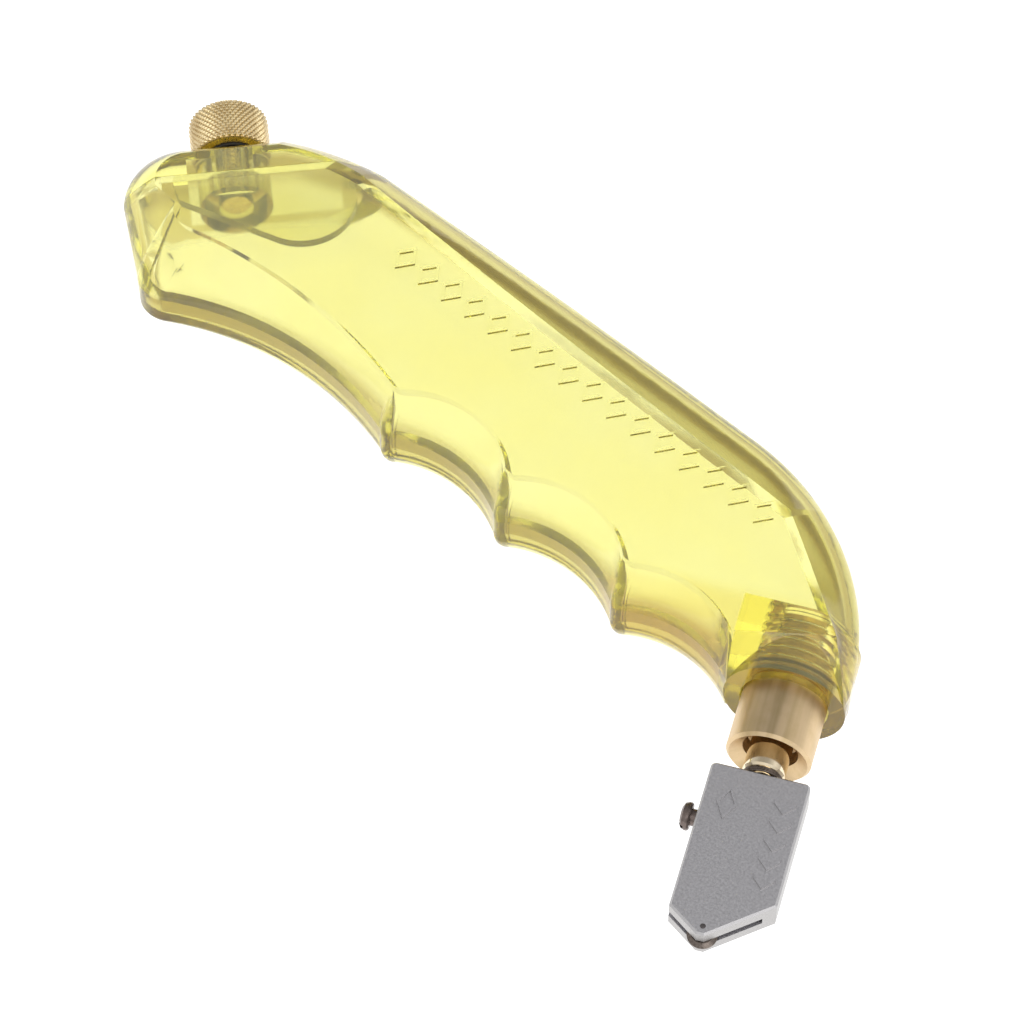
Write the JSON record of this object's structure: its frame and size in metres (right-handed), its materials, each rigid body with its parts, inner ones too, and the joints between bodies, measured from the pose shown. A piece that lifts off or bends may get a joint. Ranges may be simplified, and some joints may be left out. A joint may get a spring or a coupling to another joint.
{
  "type": "glass cutter",
  "caption": "Pistol-grip oil-feed glass cutter: hollow clear yellow grip with finger grooves, knurled brass filler screw, brass valve barrel and a grey steel cutting head with a small wheel.",
  "frame": {"origin": "centre of the underside of the bounding box, tool lying on its flat side face", "axes": "+X along the grip from the filler knob to the cutting head, +Y to the palm side, +Z out of the upper side face"},
  "size_m": [0.1544, 0.0674, 0.018],
  "materials": {
    "clear_yellow_body": "clear moulded yellow plastic, polished",
    "clear_yellow_cap": "clear moulded yellow plastic, polished",
    "clear_amber_bush": "clear moulded plastic, a deeper yellow",
    "knurled_brass": "diamond knurled",
    "seal_rubber": "matt",
    "turned_brass": "satin, fine lengthwise streaks",
    "polished_brass": "polished",
    "spring_steel": "drawn wire",
    "spring_steel_dark": "blackened wire",
    "satin_steel": "sintered grey steel, satin",
    "axle_steel": "ground",
    "carbide": "ground edge",
    "plated_screw": "nickel-plated brass, worn"
  },
  "bodies": {
    "handle": {"handle_body": "clear_yellow_body", "butt_cap": "clear_yellow_cap", "filler_bush": "clear_amber_bush", "valve_barrel": "turned_brass", "barrel_o_ring": "seal_rubber", "return_spring": "spring_steel"},
    "filler_seal": {"filler_washer": "seal_rubber"},
    "filler_knob": {"filler_screw": "knurled_brass"},
    "stem": {"valve_stem": "polished_brass", "stem_seal": "seal_rubber", "friction_spring": "spring_steel_dark"},
    "head": {"head_body": "satin_steel", "wheel_axle": "axle_steel"},
    "wheel": {"cutting_wheel": "carbide"},
    "clamp": {"clamp_screw": "plated_screw"}
  },
  "joints": [
    {"name": "filler_lift", "type": "slide", "parent": "handle", "child": "filler_seal", "axis": [-0.7547, 0.6561, 0], "range_m": [0, 0.012]},
    {"name": "filler_turn", "type": "hinge", "parent": "filler_seal", "child": "filler_knob", "pos_m": [-0.06807, 0.02126, 0.0088], "axis": [-0.7547, 0.6561, 0], "range_deg": [0, 5401]},
    {"name": "stem_press", "type": "slide", "parent": "handle", "child": "stem", "axis": [-0.4446, 0.8957, 0], "range_m": [0, 0.0011], "stiffness_N_per_m": 2500, "springref_m": -0.002, "deforming": ["return_spring"]},
    {"name": "head_swivel", "type": "hinge", "parent": "stem", "child": "head", "pos_m": [0.06489, -0.01367, 0.0088], "axis": [0.4446, -0.8957, 0], "range_deg": [-15, 15]},
    {"name": "wheel_spin", "type": "hinge", "parent": "head", "child": "wheel", "pos_m": [0.07177, -0.03158, 0.0088], "axis": [0, 0, 1], "continuous": true},
    {"name": "clamp_screw_turn", "type": "hinge", "parent": "head", "child": "clamp", "pos_m": [0.05942, -0.0184, 0.0088], "axis": [-0.8957, -0.4446, 0], "range_deg": [-640, 1080]}
  ],
  "couplings": [
    {"joint": "filler_turn", "follows": "filler_lift", "rad_per_m": 7854}
  ]
}
